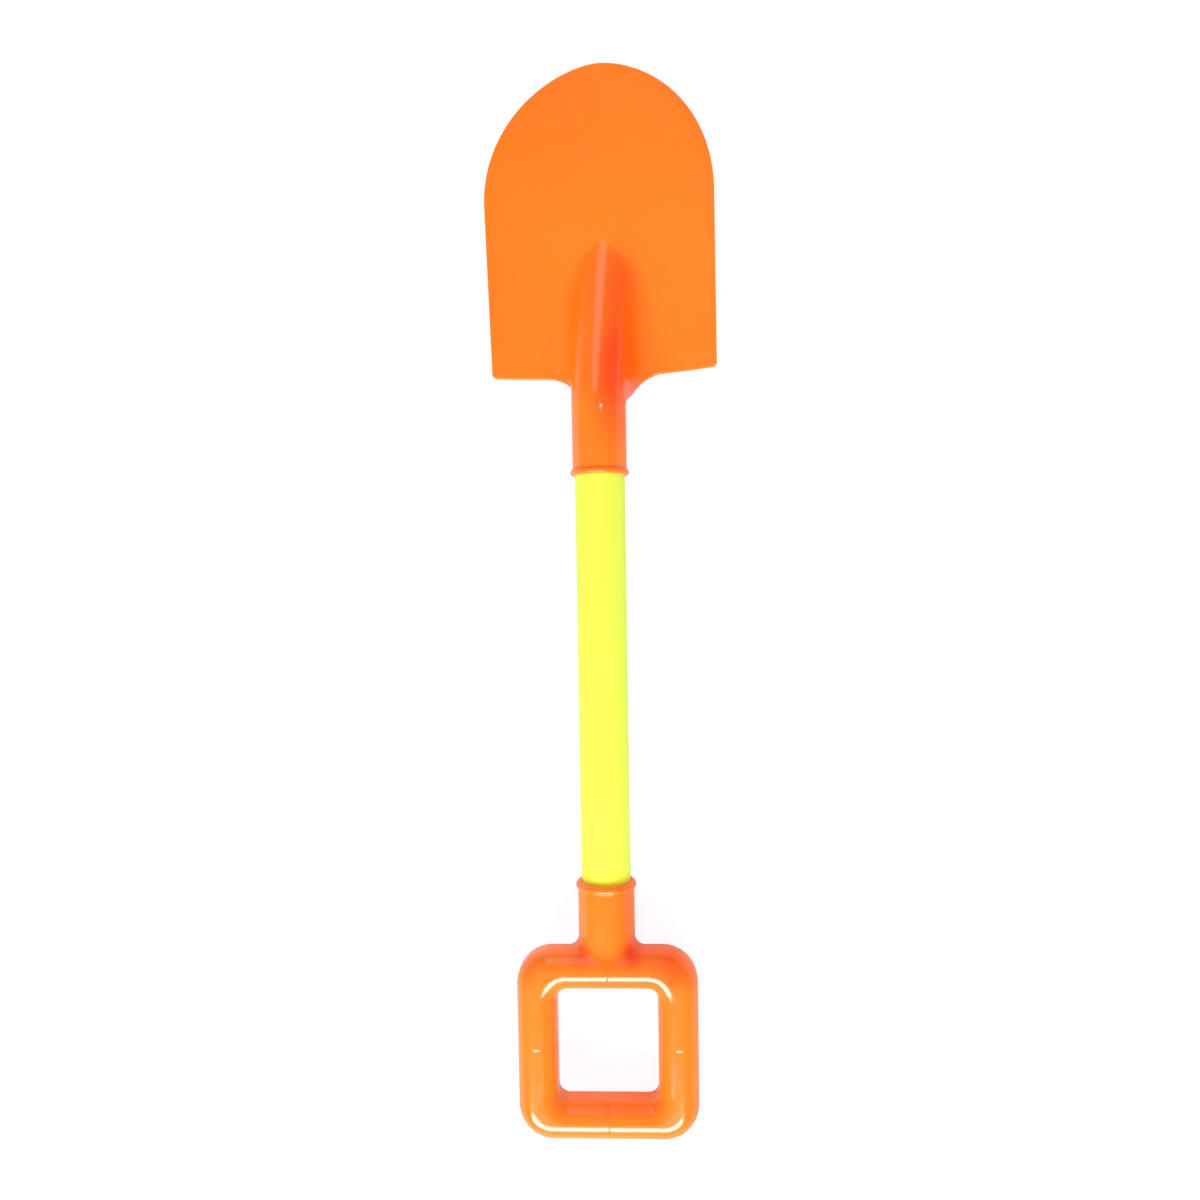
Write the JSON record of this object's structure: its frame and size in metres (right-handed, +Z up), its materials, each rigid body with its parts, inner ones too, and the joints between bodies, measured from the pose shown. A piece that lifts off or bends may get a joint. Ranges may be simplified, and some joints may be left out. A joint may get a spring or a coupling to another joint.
{
  "type": "sand shovel",
  "caption": "Long-handled toy sand shovel: a scooped orange blade with a raised tongue, a yellow tube shaft and an open orange D grip.",
  "frame": {"origin": "centre of the bounding box, on the floor that the shovel lies on with its hollow side up", "axes": "+Y from the grip to the blade's tip, +X across the blade, +Z up from the floor"},
  "size_m": [0.0858, 0.4008, 0.028],
  "materials": {
    "orange_plastic": "smooth moulded, semi-gloss",
    "yellow_plastic": "smooth extruded, satin"
  },
  "bodies": {
    "root": {"scoop_head": "orange_plastic", "shaft_tube": "yellow_plastic", "d_grip": "orange_plastic"}
  },
  "joints": []
}
